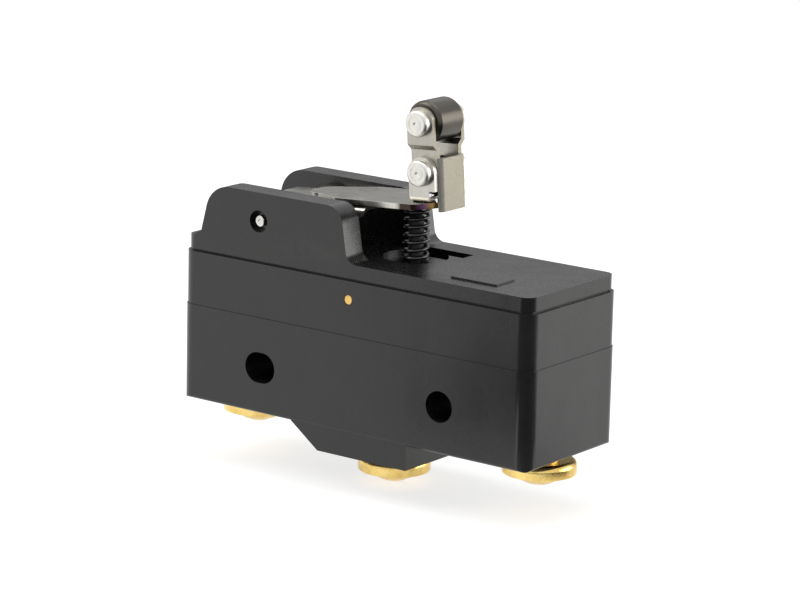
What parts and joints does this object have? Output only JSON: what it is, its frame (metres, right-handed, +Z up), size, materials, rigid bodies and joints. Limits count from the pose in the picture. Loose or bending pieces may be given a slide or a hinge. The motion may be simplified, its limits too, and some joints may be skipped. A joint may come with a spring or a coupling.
{
  "type": "lever switch",
  "caption": "Snap-action switch in a black case, with a sprung hinged lever, a one-way folding roller arm and screw terminals underneath.",
  "frame": {"origin": "on the axis of the round mounting hole, halfway through the case's width", "axes": "+X along the case towards the round hole's end, +Y through the case's width along the mounting holes, +Z up from the terminals to the roller"},
  "size_m": [0.0492, 0.0174, 0.0449],
  "materials": {
    "case_plastic": "moulded, semi-matt black",
    "cover_plastic": "moulded, smoother on the deck",
    "plunger_plastic": "polished black",
    "brass": "plain brass",
    "screw_brass": "bright brass plating",
    "spring_bronze": "rolled spring copper alloy",
    "contact_silver": "silver contact",
    "lever_steel": "nickel-plated spring steel",
    "spring_steel": "dark oiled wire",
    "rivet_chrome": "bright riveted heads",
    "roller_steel": "hardened, darkened steel"
  },
  "bodies": {
    "case": {"base_housing": "case_plastic", "upper_housing": "case_plastic", "top_cover": "cover_plastic", "cross_pin": "brass", "common_insert": "brass", "open_insert": "brass", "closed_insert": "brass", "common_screw": "screw_brass", "open_screw": "screw_brass", "closed_screw": "screw_brass", "common_washer": "screw_brass", "open_washer": "screw_brass", "closed_washer": "screw_brass", "blade_anchor": "brass", "open_strip": "brass", "open_contact": "contact_silver", "closed_strip": "brass", "closed_contact": "contact_silver", "lever_pin": "lever_steel", "lever_spring": "spring_steel"},
    "lever": {"hinge_channel": "lever_steel", "lever_leaf": "lever_steel", "roller_bracket": "lever_steel", "arm_rivet": "rivet_chrome", "arm_spring": "spring_steel"},
    "arm": {"roller_arm": "lever_steel", "roller_axle": "rivet_chrome"},
    "wheel": {"roller": "roller_steel"},
    "plunger": {"plunger": "plunger_plastic"},
    "blade": {"snap_blade": "spring_bronze", "moving_contact": "contact_silver"}
  },
  "joints": [
    {"name": "lever_pivot", "type": "hinge", "parent": "case", "child": "lever", "pos_m": [-0.0262, 0, 0.01693], "axis": [0, 1, 0], "range_deg": [0, 6], "stiffness_Nm_per_rad": 0.1, "springref_deg": -14.32, "deforming": ["lever_spring"]},
    {"name": "arm_fold", "type": "hinge", "parent": "lever", "child": "arm", "pos_m": [-0.00741, 0, 0.02435], "axis": [0, 1, 0], "range_deg": [-90, 0], "stiffness_Nm_per_rad": 0.005, "springref_deg": 17.19},
    {"name": "roller_spin", "type": "hinge", "parent": "arm", "child": "wheel", "pos_m": [-0.0078, 0, 0.02988], "axis": [0, 1, 0], "continuous": true},
    {"name": "plunger_slide", "type": "slide", "parent": "case", "child": "plunger", "axis": [0, 0, -1], "range_m": [0, 0.00061]},
    {"name": "blade_swing", "type": "hinge", "parent": "case", "child": "blade", "pos_m": [-0.0297, 0, 0.00671], "axis": [0, 1, 0], "range_deg": [0, 1.8]}
  ],
  "couplings": [
    {"joint": "plunger_slide", "follows": "lever_pivot", "m_per_rad": 0.00573},
    {"joint": "blade_swing", "follows": "lever_pivot", "ratio": 0.29}
  ]
}
